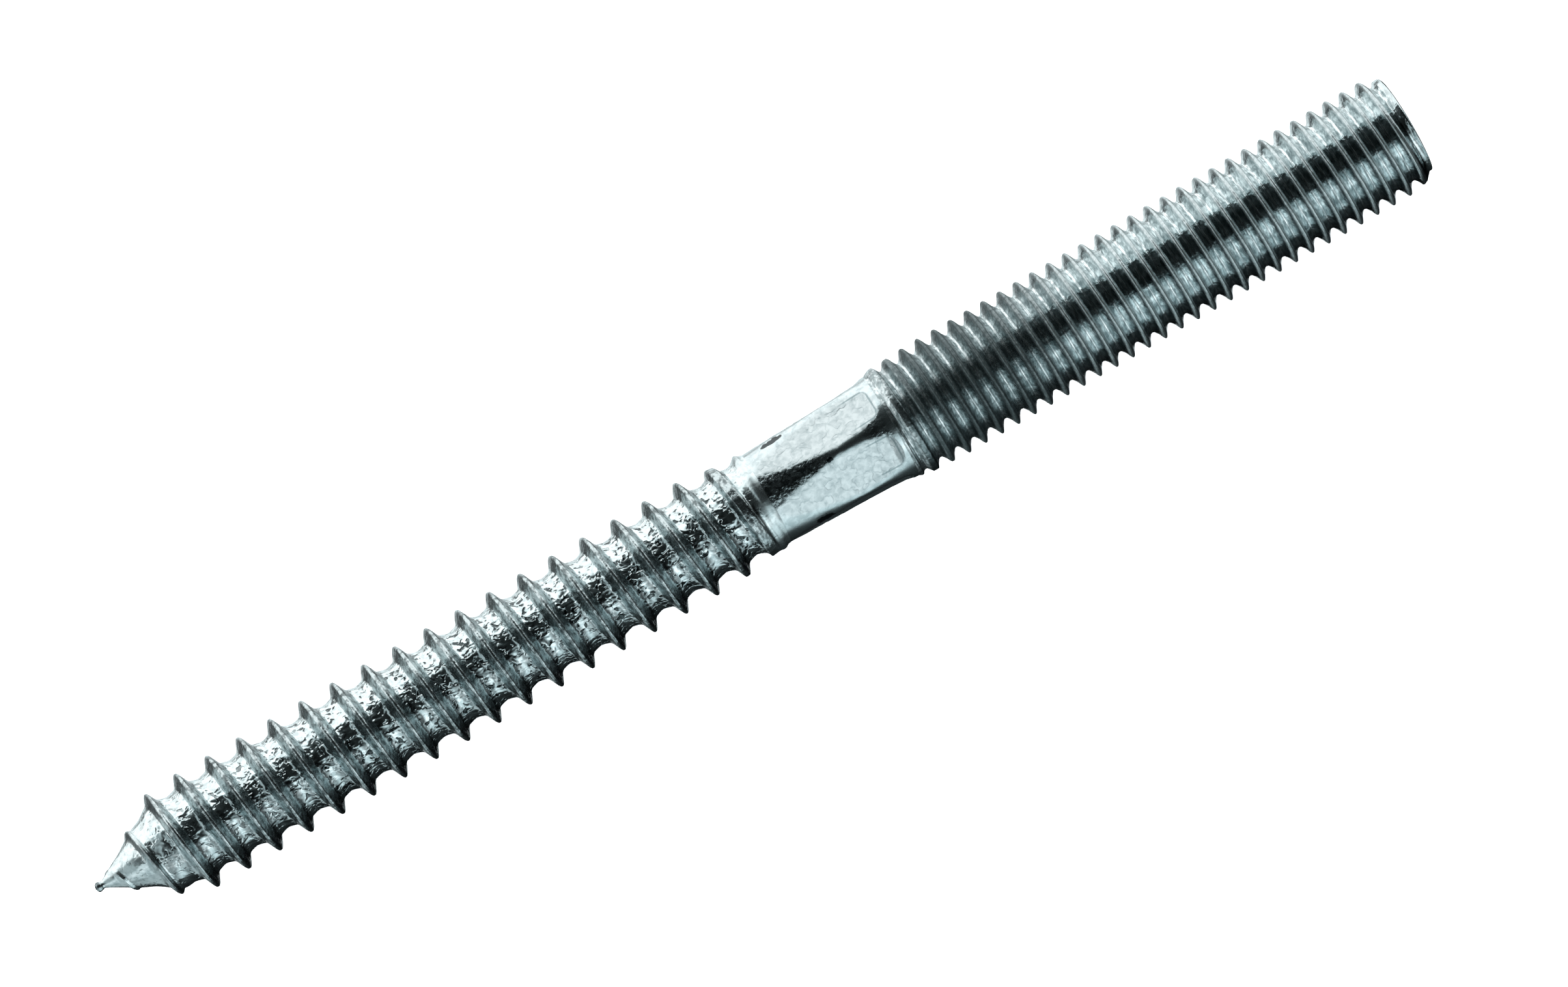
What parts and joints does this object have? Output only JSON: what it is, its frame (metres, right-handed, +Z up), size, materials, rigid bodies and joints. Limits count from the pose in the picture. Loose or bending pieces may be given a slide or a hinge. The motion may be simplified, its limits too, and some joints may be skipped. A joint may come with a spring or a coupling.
{
  "type": "hanger bolt",
  "caption": "Double-ended steel bolt with a pointed wood screw thread, a short hexagonal shank and a metric machine thread.",
  "frame": {"origin": "on the ground under the middle of the bolt's length, below its axis, as it lies on its side", "axes": "+X along the bolt's axis to the machine end, the point at -X; +Z up, through a corner of the hexagon; +Y square to two of its flats"},
  "size_m": [0.12, 0.0098, 0.0099],
  "materials": {
    "zinc_plated_steel": "bright bluish zinc plate over rolled steel, pitted between the wood threads"
  },
  "bodies": {
    "root": {"hanger_bolt": "zinc_plated_steel"}
  },
  "joints": []
}
